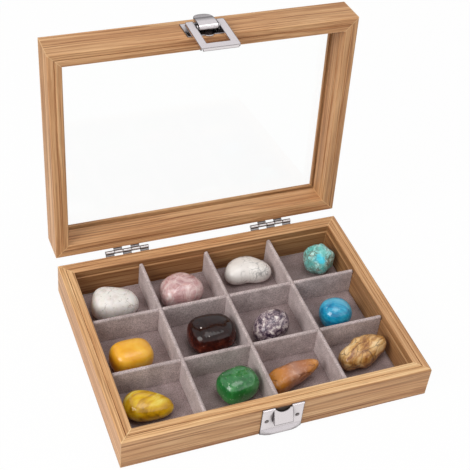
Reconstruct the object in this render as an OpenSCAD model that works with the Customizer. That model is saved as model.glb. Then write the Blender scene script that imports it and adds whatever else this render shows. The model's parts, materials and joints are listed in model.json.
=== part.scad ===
/* [Case] */
// Outside width of the case
case_w = 200; // [180:1:260]
// Outside depth of the case
case_d = 150; // [130:1:200]
// Height of the base frame
base_h = 23.5; // [23:0.5:32]
// Height of the lid frame
lid_h = 23.5; // [22:0.5:32]
// Thickness of the frame mouldings at the rim
wall_t = 9; // [8:0.5:12]
// Gap between lid and base when the case is shut
lid_gap = 0.8; // [0.4:0.1:1.5]
// How far the lid stands open, from shut
open_angle = 94.5; // [85:0.5:110]

/* [Moulding] */
// Rounding of the long edges of the mouldings
edge_r = 0.8; // [0.3:0.1:1.5]
// Distance of the rim groove from the outside face
groove_at = 4.4; // [3.5:0.1:5]
// Width of the rim groove
groove_w = 1; // [0.4:0.1:1.4]
// Depth of the rim groove
groove_depth = 0.6; // [0.2:0.1:1]
// Height of the recessed band under the rim, inside
band_h = 5; // [3:0.5:7]
// How far the inner wall stands proud of that band
band_step = 0.6; // [0.2:0.1:1]

/* [Floor] */
// Thickness of the bottom board
board_t = 2.1; // [1.5:0.1:3]
// How far the bottom board reaches under the mouldings
board_lap = 4.5; // [3:0.5:5]
// Thickness of the velvet floor pad
pad_t = 0.7; // [0.5:0.1:1.5]

/* [Dividers] */
// Thickness of a velvet covered divider
divider_t = 2.6; // [2:0.1:4]
// How far the dividers stay below the rim
divider_drop = 2.2; // [1:0.1:4]

/* [Glass] */
// Thickness of the glass
glass_t = 2; // [1.5:0.1:3]
// Height of the glass above the rim of the lid
glass_up = 15.2; // [10:0.1:16]
// How deep the glass sits in the mouldings
glass_in = 2.6; // [1.5:0.1:3.5]
// Width of the lip over the glass
lip_w = 1.8; // [1:0.1:4]
// Height of the bevel at the top of the lid
bevel_h = 4; // [2:0.1:4]

/* [Hinges] */
// Length of a hinge
hinge_l = 30; // [20:1:40]
// Distance of each hinge from the middle of the case
hinge_x = 52; // [40:1:60]
// Radius of the hinge knuckles
knuckle_r = 1.25; // [1.1:0.05:1.8]
// Radius of the hinge pin
hinge_pin_r = 0.6; // [0.4:0.05:0.75]
// Distance of the hinge axis behind the case
hinge_out = 2.9; // [2.6:0.1:3.6]
// Height of a hinge leaf
leaf_h = 9; // [8:0.5:10]
// Thickness of the hinge sheet
leaf_t = 0.8; // [0.5:0.1:1]
// Outer radius of the stop tails that hold the lid open
tail_r = 6; // [4:0.5:8]

/* [Latch] */
// Thickness of the latch sheet
sheet_t = 0.8; // [0.5:0.1:0.9]
// Width of the keeper on the base
keeper_w = 27; // [26:0.5:32]
// Width of the latch plate on the lid
plate_w = 28; // [27:0.5:34]
// Height of the latch plate on the lid
plate_h = 16.2; // [15.5:0.1:17.5]
// Width of the draw frame
frame_w = 25; // [24.6:0.1:26]
// Height of the lower bar of the draw frame
bar_h = 5.3; // [4:0.1:7]
// How deep the edges of the draw frame are turned in
flange = 1.2; // [0.6:0.1:1.4]
// Width of the draw lever
lever_w = 12.4; // [10:0.1:12.8]
// Length of the draw lever above its pin
lever_l = 14; // [12.5:0.5:17]
// Distance of the lever pin from the front of the case
pin_out = 3.9; // [3.6:0.1:4.4]
// Distance between the lever pin and the frame pin
latch_throw = 5; // [4.6:0.1:5.2]
// Radius of the two latch pins
latch_pin_r = 0.6; // [0.4:0.05:0.7]

/* [Nails] */
// Radius of the nail shanks
nail_r = 0.6; // [0.4:0.05:0.8]
// Radius of the nail heads
nail_head_r = 1.35; // [1:0.05:1.5]
// Height of the nail heads
nail_head_h = 0.4; // [0.3:0.05:0.5]
// Length of the nail shanks
nail_l = 6; // [4:0.5:7]

/* [Specimens] */
// Width of a specimen of middling size
stone_w = 30; // [22:0.5:30]

/* [Hidden] */
$fn = 48;
columns = 4;
rows = 3;

snug = 0.02;
loose = 0.08;
seat = 0.05;
fit = 0.2;
far = 400;

wood = [0.72, 0.53, 0.36];
velvet = [0.58, 0.52, 0.51];
chrome = [0.8, 0.8, 0.82];
steel = [0.62, 0.6, 0.58];

// Heights that the rest is worked out from
pad_top = board_t + pad_t;
divider_top = base_h - divider_drop;
lid_z = base_h + lid_gap;
inner_u = wall_t + band_step;
inside_w = case_w - 2 * inner_u;
inside_d = case_d - 2 * inner_u;
cell_w = (inside_w - (columns - 1) * divider_t) / columns;
cell_d = (inside_d - (rows - 1) * divider_t) / rows;
front_y = -case_d / 2;
stone_unit = min(stone_w, 0.72 * cell_w, 0.72 * cell_d);

// The hinge axis
axis_y = case_d / 2 + hinge_out;
axis_z = base_h + lid_gap / 2;

// The latch, in distances out from the front face and heights above the table
ear_gap = 0.3;
window_w = lever_w + 2 * (ear_gap + sheet_t + fit);
hood_w = window_w - 2.6;
lever_pin_z = lid_z + 4.7;
frame_pin_z = lever_pin_z + latch_throw;
over_centre = 0.3;
frame_pin_out = pin_out - over_centre;
nose_r = 2;
plate_low = lid_z + 1;
plate_nail_z = plate_low + plate_h - 2.9;
nail_x = (frame_w + window_w) / 4;
keeper_low = 0.5;
keeper_top = base_h - 0.9;
keeper_h = keeper_top - keeper_low;
ledge_z = base_h - 12.7;
hood_out = 4.4;
scoop_r = hood_w / 2 - 0.15;
keeper_nail_z = keeper_top - 10.6;
bar_at = frame_pin_z - ledge_z + 0.6;
frame_l = bar_at + bar_h;
frame_end = 2.5 * sheet_t;
frame_back = sheet_t / 8;
frame_tilt = asin((frame_pin_out - sheet_t - 0.12 - flange) / frame_l);
hinge_nail_x = hinge_l * 0.3;
web_drop = 3.2;
hinge_nail_drop = web_drop + leaf_h * 0.55;

// Turns what is drawn shut to the open lid
module open_lid() {
    translate([0, axis_y, axis_z])
        rotate([-open_angle, 0, 0])
            translate([0, -axis_y, -axis_z])
                children();
}

// Raises a drawing in x and z from the front face of the case
module on_front(from, to) {
    translate([0, front_y - from, 0])
        rotate([90, 0, 0])
            linear_extrude(to - from)
                children();
}

// Sweeps a side view, drawn as distance out of the front face and height, along x
module side_view(x_from, x_to) {
    translate([x_from, front_y, 0])
        mirror([0, 1, 0])
            rotate([90, 0, 90])
                linear_extrude(x_to - x_from)
                    children();
}

module both_sides() {
    children();
    mirror([1, 0, 0]) children();
}

// The points of a quarter round from one angle to the next
function quarter(centre, r, from, to) =
    [for (i = [0:4]) centre + r * [cos(from + (to - from) * i / 4), sin(from + (to - from) * i / 4)]];

// Section of the base moulding: distance in from the outside face, height
function base_section() = concat(
    [[board_lap, 0]],
    quarter([edge_r, edge_r], edge_r, 270, 180),
    quarter([edge_r, base_h - edge_r], edge_r, 180, 90),
    [[groove_at - groove_w / 2, base_h],
     [groove_at, base_h - groove_depth],
     [groove_at + groove_w / 2, base_h]],
    quarter([wall_t - edge_r, base_h - edge_r], edge_r, 90, 0),
    [[wall_t, base_h - band_h],
     [inner_u, base_h - band_h - band_step],
     [inner_u, board_t],
     [board_lap, board_t]]);

// Section of the lid moulding: the same rim upside down, with a glass groove and a bevelled lip
function lid_section() = concat(
    quarter([edge_r, edge_r], edge_r, 270, 180),
    quarter([edge_r, lid_h - edge_r], edge_r, 180, 90),
    [[wall_t + lip_w - bevel_h, lid_h],
     [wall_t + lip_w, lid_h - bevel_h],
     [wall_t + lip_w, glass_up + glass_t + fit],
     [inner_u - glass_in, glass_up + glass_t + fit],
     [inner_u - glass_in, glass_up],
     [inner_u, glass_up],
     [inner_u, band_h + band_step],
     [wall_t, band_h]],
    quarter([wall_t - edge_r, edge_r], edge_r, 0, -90),
    [[groove_at + groove_w / 2, 0],
     [groove_at, groove_depth],
     [groove_at - groove_w / 2, 0]]);

// One mitred length of moulding along x, with its outside face towards -y
module rail(length, section) {
    deep = wall_t + lip_w + 4;
    intersection() {
        rotate([90, 0, 90])
            linear_extrude(length, center = true)
                polygon(section);
        linear_extrude(far, center = true)
            polygon([[-length / 2, 0], [length / 2, 0],
                     [length / 2 - deep, deep], [-length / 2 + deep, deep]]);
    }
}

// Puts a rail drawn at the front on one of the four sides
module on_side(turn, half) {
    rotate([0, 0, turn]) translate([0, -half, 0]) children();
}

// A domed nail that points along -z, with its head from z = 0 upwards
module nail(length = nail_l) {
    rotate_extrude($fn = 32)
        polygon([[0, -length], [nail_r / 2, -length + nail_r], [nail_r, -length + 2 * nail_r],
                 [nail_r, 0], [nail_head_r, 0], [nail_head_r * 0.92, nail_head_h * 0.5],
                 [nail_head_r * 0.6, nail_head_h * 0.88], [0, nail_head_h]]);
}

// The hole that a nail is driven into, from z = 0 downwards
module pilot() {
    translate([0, 0, -nail_l - fit]) cylinder(r = nail_r + snug, h = nail_l + fit + 1, $fn = 32);
}

// Places of the nails: on the front face and on the back face
module at_front_nails(z, out) {
    for (x = [-nail_x, nail_x])
        translate([x, front_y - out, z]) rotate([90, 0, 0]) children();
}

module at_back_nails(z, out) {
    for (h = [-hinge_x, hinge_x], x = [-hinge_nail_x, hinge_nail_x])
        translate([h + x, case_d / 2 + out, z]) rotate([-90, 0, 0]) children();
}

// The frame of the base
module base_rail_front() {
    color(wood) difference() {
        on_side(0, case_d / 2) rail(case_w, base_section());
        at_front_nails(keeper_nail_z, 0) pilot();
    }
}

module base_rail_back() {
    color(wood) difference() {
        on_side(180, case_d / 2) rail(case_w, base_section());
        at_back_nails(axis_z - hinge_nail_drop, 0) pilot();
    }
}

module base_rail_left() {
    color(wood) on_side(-90, case_w / 2) rail(case_d, base_section());
}

module base_rail_right() {
    color(wood) on_side(90, case_w / 2) rail(case_d, base_section());
}

module bottom_board() {
    w = case_w - 2 * (board_lap + seat);
    d = case_d - 2 * (board_lap + seat);
    color(wood) translate([-w / 2, -d / 2, 0]) cube([w, d, board_t - seat]);
}

module floor_pad() {
    w = inside_w - 2 * fit;
    d = inside_d - 2 * fit;
    color(velvet) translate([-w / 2, -d / 2, board_t - seat]) cube([w, d, pad_t]);
}

// A divider with a rounded top along x, with half lap slots at the given places
module divider(length, slots, slots_on_top) {
    height = divider_top - pad_top;
    middle = pad_top + height / 2;
    color(velvet) difference() {
        union() {
            translate([-length / 2, -divider_t / 2, pad_top])
                cube([length, divider_t, height - divider_t / 2]);
            translate([-length / 2, 0, divider_top - divider_t / 2])
                rotate([0, 90, 0]) cylinder(d = divider_t, h = length, $fn = 24);
        }
        for (x = slots)
            translate([x - divider_t / 2 - seat, -divider_t, slots_on_top ? middle : pad_top - 1])
                cube([divider_t + 2 * seat, 2 * divider_t, height / 2 + 1 + seat]);
    }
}

function column_line(i) = (i - columns / 2) * (cell_w + divider_t);
function row_line(i) = (i - rows / 2) * (cell_d + divider_t);

module cross_divider(i) {
    translate([column_line(i), 0, 0]) rotate([0, 0, 90])
        divider(inside_d - 2 * fit, [for (r = [1:rows - 1]) row_line(r)], false);
}

module long_divider(i) {
    translate([0, row_line(i), 0])
        divider(inside_w - 2 * fit, [for (c = [1:columns - 1]) column_line(c)], true);
}

// The hinges: a leaf is drawn for the base, and mirrored in the axis for the lid
function knuckle_edge(i) = -hinge_l / 2 + i * hinge_l / 5;

module knuckle_section(bore_r) {
    difference() {
        union() {
            circle(knuckle_r);
            polygon([[-hinge_out, -web_drop], [-hinge_out + leaf_t, -web_drop - leaf_t / 2],
                     [0.1, -knuckle_r * 0.97], [-knuckle_r * 0.7, -knuckle_r * 0.68]]);
            translate([-hinge_out, -web_drop - leaf_h]) square([leaf_t, leaf_h]);
        }
        circle(bore_r);
    }
}

module tail_section(from_r) {
    rotate(-open_angle / 2)
        translate([from_r, -seat - leaf_t]) square([tail_r - from_r, leaf_t]);
}

module along_hinge(x_from, x_to) {
    translate([x_from, 0, 0]) rotate([90, 0, 90]) linear_extrude(x_to - x_from) children();
}

module hinge_leaf(knuckles, necks, bore_r) {
    color(steel) difference() {
        union() {
            for (i = knuckles)
                along_hinge(knuckle_edge(i) + loose, knuckle_edge(i + 1) - loose)
                    knuckle_section(bore_r);
            along_hinge(knuckle_edge(0) + loose, knuckle_edge(5) - loose)
                translate([-hinge_out, -web_drop - leaf_h]) square([leaf_t, leaf_h]);
            along_hinge(knuckle_edge(1), knuckle_edge(4)) tail_section(knuckle_r + 0.35);
            for (i = necks)
                along_hinge(knuckle_edge(i) + fit, knuckle_edge(i + 1) - fit)
                    difference() {
                        tail_section(hinge_pin_r);
                        circle(bore_r);
                    }
        }
        for (x = [-hinge_nail_x, hinge_nail_x])
            translate([x, -hinge_out - 1, -hinge_nail_drop]) rotate([-90, 0, 0])
                cylinder(r = nail_r + snug, h = leaf_t + 2, $fn = 32);
    }
}

module hinge_base_leaf(side) {
    translate([side * hinge_x, axis_y, axis_z])
        hinge_leaf([0, 2, 4], [2], hinge_pin_r + snug);
}

module hinge_lid_leaf(side) {
    open_lid() translate([side * hinge_x, axis_y, axis_z])
        mirror([0, 0, 1]) hinge_leaf([1, 3], [1, 3], hinge_pin_r + loose);
}

module hinge_pin(side) {
    color(steel) translate([side * hinge_x - hinge_l / 2, axis_y, axis_z])
        rotate([0, 90, 0]) cylinder(r = hinge_pin_r, h = hinge_l, $fn = 32);
}

module hinge_base_nails() {
    color(steel) at_back_nails(axis_z - hinge_nail_drop, leaf_t) nail();
}

module hinge_lid_nails() {
    color(steel) open_lid() at_back_nails(axis_z + hinge_nail_drop, leaf_t) nail();
}

// The keeper on the base: a plate with a scoop at its top, a hood pressed out below the scoop
// whose open lower edge is the ledge that holds the draw frame, and a swelling at its foot
function hood_skin(z) = hood_out - (z - ledge_z) * 0.35;

module keeper_hood() {
    half = hood_w / 2;
    top = keeper_top - 1;
    side_view(-half, half)
        polygon([[hood_skin(ledge_z), ledge_z], [hood_skin(top), top],
                 [hood_skin(top) - sheet_t, top], [hood_skin(ledge_z) - sheet_t, ledge_z]]);
    both_sides() side_view(half - sheet_t, half)
        polygon([[0, ledge_z], [hood_skin(ledge_z), ledge_z], [hood_skin(top), top], [0, top]]);
}

module keeper_swelling() {
    half = keeper_w / 2 - 0.6;
    rise = 2.1;
    out = sheet_t + rise;
    intersection() {
        side_view(-half, half)
            polygon([[0, keeper_low], [out - 0.4, keeper_low], [out, keeper_low + 0.5],
                     [out - 0.3, keeper_low + 1.6], [sheet_t, keeper_low + 4], [0, keeper_low + 4]]);
        translate([0, front_y, keeper_low]) linear_extrude(keeper_h)
            polygon([[-half, 0], [-half, -sheet_t], [-half * 0.8, -sheet_t - rise * 0.55],
                     [-half * 0.5, -out + 0.2], [0, -out], [half * 0.5, -out + 0.2],
                     [half * 0.8, -sheet_t - rise * 0.55], [half, -sheet_t], [half, 0]]);
    }
}

module keeper_plate() {
    color(chrome) difference() {
        union() {
            on_front(0, sheet_t) difference() {
                translate([-keeper_w / 2, keeper_low]) square([keeper_w, keeper_h]);
                translate([-hood_w / 2 + sheet_t, ledge_z])
                    square([hood_w - 2 * sheet_t, keeper_h]);
            }
            translate([-keeper_w / 2, front_y - sheet_t, keeper_top - 0.6])
                rotate([0, 90, 0]) cylinder(r = 0.6, h = keeper_w, $fn = 24);
            intersection() {
                keeper_hood();
                on_front(0, 8) translate([-keeper_w / 2, 0]) square([keeper_w, keeper_top - 1]);
            }
            keeper_swelling();
        }
        on_front(-1, 8) translate([0, keeper_top + scoop_r * 0.4]) circle(scoop_r);
        on_front(-4, 0) translate([-far / 2, 0]) square([far, base_h]);
        at_front_nails(keeper_nail_z, -1) cylinder(r = nail_r + snug, h = 4, $fn = 32);
    }
}

module keeper_nails() {
    color(chrome) at_front_nails(keeper_nail_z, sheet_t) nail();
}

// The frame of the lid
module lid_rail(turn, half, length) {
    translate([0, 0, lid_z]) on_side(turn, half) rail(length, lid_section());
}

module lid_rail_front() {
    color(wood) open_lid() difference() {
        lid_rail(0, case_d / 2, case_w);
        at_front_nails(plate_nail_z, 0) pilot();
    }
}

module lid_rail_back() {
    color(wood) open_lid() difference() {
        lid_rail(180, case_d / 2, case_w);
        at_back_nails(axis_z + hinge_nail_drop, 0) pilot();
    }
}

module lid_rail_left() {
    color(wood) open_lid() lid_rail(-90, case_w / 2, case_d);
}

module lid_rail_right() {
    color(wood) open_lid() lid_rail(90, case_w / 2, case_d);
}

module glass_pane() {
    w = inside_w + 2 * glass_in - 2 * fit;
    d = inside_d + 2 * glass_in - 2 * fit;
    color([0.85, 0.92, 0.93, 0.3]) open_lid()
        translate([-w / 2, -d / 2, lid_z + glass_up + fit / 2]) cube([w, d, glass_t]);
}

// The latch on the lid: a plate with two ears that carry the draw lever on its pin
ear_in = lever_w / 2 + ear_gap;
ear_out = ear_in + sheet_t;

module latch_plate() {
    ear_r = 1.4;
    color(chrome) open_lid() difference() {
        union() {
            on_front(0, sheet_t) {
                translate([-plate_w / 2, plate_low]) square([plate_w, plate_h]);
                translate([0, plate_low + 2.2]) circle(window_w / 4);
            }
            both_sides() side_view(ear_in, ear_out) {
                translate([0, lever_pin_z - ear_r]) square([pin_out, 2 * ear_r]);
                translate([pin_out, lever_pin_z]) circle(ear_r);
            }
        }
        side_view(-far, far) translate([pin_out, lever_pin_z]) circle(latch_pin_r + snug, $fn = 32);
        at_front_nails(plate_nail_z, -1) cylinder(r = nail_r + snug, h = 4, $fn = 32);
    }
}

module latch_plate_nails() {
    color(chrome) open_lid() at_front_nails(plate_nail_z, sheet_t) nail();
}

module lever_pin() {
    color(steel) open_lid() side_view(-ear_out, ear_out)
        translate([pin_out, lever_pin_z]) circle(latch_pin_r, $fn = 32);
}

// Distance out of the lever's skin at a share t of its length: a shallow crest, then in to the tip
function lever_rise(t) = pin_out + nose_r + 0.3 * sin(180 * min(1, 1.5 * t)) - 0.7 * t * t;

module draw_lever() {
    steps = 12;
    nose = [for (i = [0:8]) [pin_out, lever_pin_z] + nose_r * [cos(-120 + 15 * i), sin(-120 + 15 * i)]];
    back = [for (i = [1:steps]) [lever_rise(i / steps), lever_pin_z + lever_l * i / steps]];
    nose_in = [for (i = [8:-1:0])
        [pin_out, lever_pin_z] + (nose_r - sheet_t) * [cos(-120 + 15 * i), sin(-120 + 15 * i)]];
    back_in = [for (i = [steps:-1:1]) back[i - 1] - [sheet_t, 0]];
    tip_r = lever_w * 0.42;
    tip_z = lever_pin_z + lever_l - tip_r;
    color(chrome) open_lid() difference() {
        union() {
            intersection() {
                side_view(-lever_w / 2, lever_w / 2) polygon(concat(nose, back, back_in, nose_in));
                on_front(0, 12) {
                    translate([-lever_w / 2, 0]) square([lever_w, tip_z]);
                    translate([-lever_w / 2 + tip_r, 0]) square([lever_w - 2 * tip_r, tip_z + tip_r]);
                    both_sides() translate([lever_w / 2 - tip_r, tip_z]) circle(tip_r);
                }
            }
            both_sides() side_view(lever_w / 2 - sheet_t, lever_w / 2) {
                translate([pin_out, lever_pin_z]) circle(nose_r - sheet_t / 2);
                polygon(concat([[pin_out - 1.4, lever_pin_z], [frame_pin_out - 1.4, frame_pin_z],
                                [frame_pin_out - 0.5, frame_pin_z + 1.4]],
                               [for (i = [8:-1:1]) back[i - 1] - [sheet_t / 2, 0]],
                               [[pin_out + nose_r - sheet_t / 2, lever_pin_z]]));
            }
        }
        for (pin = [[pin_out, lever_pin_z], [frame_pin_out, frame_pin_z]])
            side_view(-far, far) translate(pin) circle(latch_pin_r + loose, $fn = 32);
    }
}

// The draw frame is drawn about its pin, hanging down, then leaned in towards the case
module at_frame() {
    open_lid() translate([0, front_y - frame_pin_out, frame_pin_z])
        rotate([frame_tilt, 0, 0]) children();
}

module frame_pin() {
    reach = window_w / 2 + sheet_t;
    color(steel) at_frame()
        translate([-reach, 0, 0]) rotate([0, 90, 0]) cylinder(r = latch_pin_r, h = 2 * reach, $fn = 32);
}

module frame_sheet(from, to) {
    translate([0, -from, 0]) rotate([90, 0, 0]) linear_extrude(to - from) children();
}

// An edge of the frame, turned in from its face, at a distance x from the middle
module frame_wall(x, low) {
    translate([x, 0, 0]) rotate([90, 0, 90]) linear_extrude(sheet_t)
        polygon([[flange, frame_end - 1.5 * sheet_t], [flange, low], [-frame_back - sheet_t, low],
                 [-frame_back - sheet_t, frame_end - 1.5 * sheet_t]]);
}

module draw_frame() {
    corner_r = 1.5 * sheet_t;
    color(chrome) at_frame() difference() {
        union() {
            frame_sheet(frame_back, frame_back + sheet_t) difference() {
                union() {
                    translate([-frame_w / 2, -frame_l + corner_r])
                        square([frame_w, frame_l + frame_end - 2 * corner_r]);
                    translate([-frame_w / 2 + corner_r, -frame_l])
                        square([frame_w - 2 * corner_r, frame_l + frame_end]);
                    for (x = [-1, 1], z = [-frame_l + corner_r, frame_end - corner_r])
                        translate([x * (frame_w / 2 - corner_r), z]) circle(corner_r);
                }
                translate([-window_w / 2, -bar_at]) square([window_w, far]);
            }
            both_sides() {
                frame_wall(frame_w / 2 - sheet_t, corner_r - frame_l);
                frame_wall(window_w / 2, -bar_at);
            }
            frame_sheet(-flange, frame_back + sheet_t)
                translate([corner_r - frame_w / 2, -frame_l]) square([frame_w - 2 * corner_r, sheet_t]);
        }
        rotate([0, 90, 0]) cylinder(r = latch_pin_r + snug, h = window_w + 2 * sheet_t + snug,
                                    center = true, $fn = 32);
    }
}

// A tumbled specimen: a rounded box whose sides swell and dip, flat where it lies.
// size is its width, depth and height as shares of stone_w; square is 2 for an egg and more
// for a box;
// lumps is a list of [share of the radius, count round, phase, count up], faded at the poles;
// taper narrows the +x end, and lean tips the stone about y.
function stone_point(d, size, square, lumps, taper, lean) =
    let (h = size / 2,
         body = pow(pow(abs(d.x) / h.x, square) + pow(abs(d.y) / h.y, square)
                    + pow(abs(d.z) / h.z, square), -1 / square),
         round = atan2(d.y, d.x),
         up = asin(max(-1, min(1, d.z))),
         fade = min(1, 1.4 * pow(cos(up), 2)),
         swell = 1 + fade * sum_of([for (l = lumps) l[0] * cos(l[1] * round + l[2]) * cos(l[3] * up)]),
         p = d * body * swell,
         narrow = 1 - taper * (p.x / size.x + 0.5))
    [p.x * cos(lean) + p.z * narrow * sin(lean), p.y * narrow,
     -p.x * sin(lean) + p.z * narrow * cos(lean)];

function sum_of(list, i = 0) = i == len(list) ? 0 : list[i] + sum_of(list, i + 1);

module stone(size, square, lumps, taper = 0, lean = 0, flat = 0.86) {
    around = 22;
    rings = 11;
    dirs = [for (j = [1:rings], i = [0:around - 1])
        let (b = -90 + 180 * j / (rings + 1), a = 360 * i / around)
            [cos(b) * cos(a), cos(b) * sin(a), sin(b)]];
    raw = [for (d = concat([[0, 0, -1]], dirs, [[0, 0, 1]]))
        stone_point(d, size, square, lumps, taper, lean)];
    bed = min([for (p = raw) p.z]) * flat;
    points = [for (p = raw) [p.x, p.y, max(p.z, bed)]];
    top = len(points) - 1;
    faces = concat(
        [for (i = [0:around - 1]) [0, 1 + i, 1 + (i + 1) % around]],
        [for (j = [0:rings - 2], i = [0:around - 1])
            [1 + j * around + i, 1 + (j + 1) * around + i, 1 + j * around + (i + 1) % around]],
        [for (j = [0:rings - 2], i = [0:around - 1])
            [1 + (j + 1) * around + i, 1 + (j + 1) * around + (i + 1) % around,
             1 + j * around + (i + 1) % around]],
        [for (i = [0:around - 1])
            [top, 1 + (rings - 1) * around + (i + 1) % around, 1 + (rings - 1) * around + i]]);
    scale(stone_unit) translate([0, 0, -bed]) polyhedron(points, faces);
}

// Sets a stone down in a compartment, counted from the rear left, moved by shares of the
// compartment's width and depth, and turned
module in_cell(column, row, at, turn) {
    x = column_line(column + 0.5 + at.x);
    y = -row_line(row + 0.5 - at.y);
    translate([x, y, pad_top + seat]) rotate([0, 0, turn]) children();
}

module specimen_magnesite() {
    color([0.86, 0.86, 0.84]) in_cell(0, 0, [-0.035, -0.01], -8)
        stone([1.08, 0.79, 0.67], 3, [[0.035, 3, 20, 1], [0.025, 5, 80, 2], [0.015, 8, 0, 3]], 0.16, 4);
}

module specimen_rose_quartz() {
    color([0.85, 0.68, 0.68]) in_cell(1, 0, [-0.035, 0], 4)
        stone([1.03, 0.79, 0.6], 2.6, [[0.06, 3, 90, 1], [0.03, 5, 10, 2]], -0.06, 0);
}

module specimen_howlite() {
    color([0.84, 0.83, 0.8]) in_cell(2, 0, [0.065, 0.155], -9)
        stone([1.08, 0.78, 0.54], 2.4, [[0.05, 2, 0, 1], [0.1, 3, 90, 1], [0.02, 5, 40, 2]], 0.06, 0);
}

module specimen_turquoise() {
    color([0.25, 0.66, 0.66]) in_cell(3, 0, [0.175, 0.03], 0)
        stone([0.79, 0.73, 0.78], 2.1, [[0.09, 5, 90, 1], [0.06, 3, -60, 3], [0.05, 9, 0, 4]], 0, 0);
}

module specimen_yellow_jade() {
    color([0.9, 0.66, 0.12]) in_cell(0, 1, [-0.085, -0.085], 5)
        stone([0.92, 0.72, 0.67], 3.2, [[0.02, 2, 30, 1]], 0.05, 0);
}

module specimen_garnet() {
    color([0.2, 0.05, 0.04]) in_cell(1, 1, [0.1, 0.01], 0)
        stone([1.06, 0.88, 0.7], 3, [[0.02, 3, 0, 1], [0.012, 8, 0, 1]], 0, 0);
}

module specimen_amethyst() {
    color([0.5, 0.4, 0.52]) in_cell(2, 1, [-0.045, -0.08], 18)
        stone([0.94, 0.62, 0.6], 2.2, [[0.05, 3, 40, 1], [0.03, 6, 0, 3], [0.02, 9, 0, 2]], -0.3, -12);
}

module specimen_blue_agate() {
    color([0.05, 0.45, 0.65]) in_cell(3, 1, [-0.03, -0.09], 0)
        stone([0.75, 0.7, 0.67], 2.3, [[0.015, 3, 30, 1]], 0, 0);
}

module specimen_lemon_jasper() {
    color([0.75, 0.65, 0.05]) in_cell(0, 2, [-0.112, 0.045], -14)
        stone([1.1, 0.8, 0.58], 2.2, [[0.03, 3, 0, 1]], 0.26, 5);
}

module specimen_green_quartz() {
    color([0.08, 0.45, 0.15]) in_cell(1, 2, [0.145, 0.02], 14)
        stone([0.9, 0.78, 0.68], 2.8, [[0.02, 2, 20, 1], [0.02, 5, 0, 2]], 0.04, 0);
}

module specimen_jasper_shard() {
    color([0.7, 0.42, 0.16]) in_cell(2, 2, [-0.08, -0.01], 8)
        stone([1.28, 0.62, 0.56], 2.9, [[0.06, 3, 70, 2], [0.05, 5, 0, 1], [0.02, 9, 0, 3]], 0.36, -12);
}

module specimen_brown_jasper() {
    color([0.7, 0.5, 0.26]) in_cell(3, 2, [0.035, 0.1], 16)
        stone([1.2, 0.64, 0.56], 2.9, [[0.08, 4, 30, 1], [0.06, 7, 60, 2], [0.03, 11, 0, 4]], -0.05, -6);
}

base_rail_front();
base_rail_back();
base_rail_left();
base_rail_right();
bottom_board();
floor_pad();
cross_divider(1);  // cross_divider_left
cross_divider(2);  // cross_divider_middle
cross_divider(3);  // cross_divider_right
long_divider(1);  // long_divider_front
long_divider(2);  // long_divider_rear
keeper_plate();
keeper_nails();
hinge_base_leaf(-1);  // hinge_base_leaf_left
hinge_base_leaf(1);  // hinge_base_leaf_right
hinge_pin(-1);  // hinge_pin_left
hinge_pin(1);  // hinge_pin_right
hinge_base_nails();
lid_rail_front();
lid_rail_back();
lid_rail_left();
lid_rail_right();
glass_pane();
hinge_lid_leaf(-1);  // hinge_lid_leaf_left
hinge_lid_leaf(1);  // hinge_lid_leaf_right
hinge_lid_nails();
latch_plate();
latch_plate_nails();
lever_pin();
draw_lever();
frame_pin();
draw_frame();
specimen_magnesite();
specimen_rose_quartz();
specimen_howlite();
specimen_turquoise();
specimen_yellow_jade();
specimen_garnet();
specimen_amethyst();
specimen_blue_agate();
specimen_lemon_jasper();
specimen_green_quartz();
specimen_jasper_shard();
specimen_brown_jasper();
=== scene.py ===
import json
import math

import bmesh
import bpy
from mathutils import Matrix, Vector


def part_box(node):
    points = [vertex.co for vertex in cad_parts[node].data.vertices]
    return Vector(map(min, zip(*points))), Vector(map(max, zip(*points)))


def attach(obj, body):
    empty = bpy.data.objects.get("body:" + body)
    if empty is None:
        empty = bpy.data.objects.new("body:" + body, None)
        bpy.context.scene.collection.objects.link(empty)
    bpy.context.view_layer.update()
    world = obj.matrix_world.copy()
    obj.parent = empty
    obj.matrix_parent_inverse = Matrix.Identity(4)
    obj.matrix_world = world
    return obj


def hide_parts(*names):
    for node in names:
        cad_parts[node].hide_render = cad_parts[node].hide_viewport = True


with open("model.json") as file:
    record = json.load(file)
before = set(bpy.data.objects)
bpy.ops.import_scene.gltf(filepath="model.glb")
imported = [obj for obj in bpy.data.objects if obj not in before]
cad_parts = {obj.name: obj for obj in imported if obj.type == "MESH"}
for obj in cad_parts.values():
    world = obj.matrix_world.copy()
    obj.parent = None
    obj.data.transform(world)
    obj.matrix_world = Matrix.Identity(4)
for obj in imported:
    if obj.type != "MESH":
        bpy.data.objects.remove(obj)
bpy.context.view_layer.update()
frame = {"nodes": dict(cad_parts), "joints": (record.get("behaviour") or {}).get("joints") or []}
nodes = frame["nodes"]
scene = bpy.context.scene
print("loaded", len(nodes), "nodes")

mm = 0.001
hinge = next(j for j in frame["joints"] if j["name"] == "lid_hinge")
hingeAt = Vector(hinge["pos_m"])
lidAngle = math.radians(hinge["range_deg"][1])
halfWide, halfDeep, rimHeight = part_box("base_rail_right")[1]


# colours are written as they look on screen, from 0 to 255
def srgb(r, g, b):
    def linear(c):
        c /= 255
        return c / 12.92 if c <= 0.04045 else ((c + 0.055) / 1.055) ** 2.4
    return (linear(r), linear(g), linear(b), 1)


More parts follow.
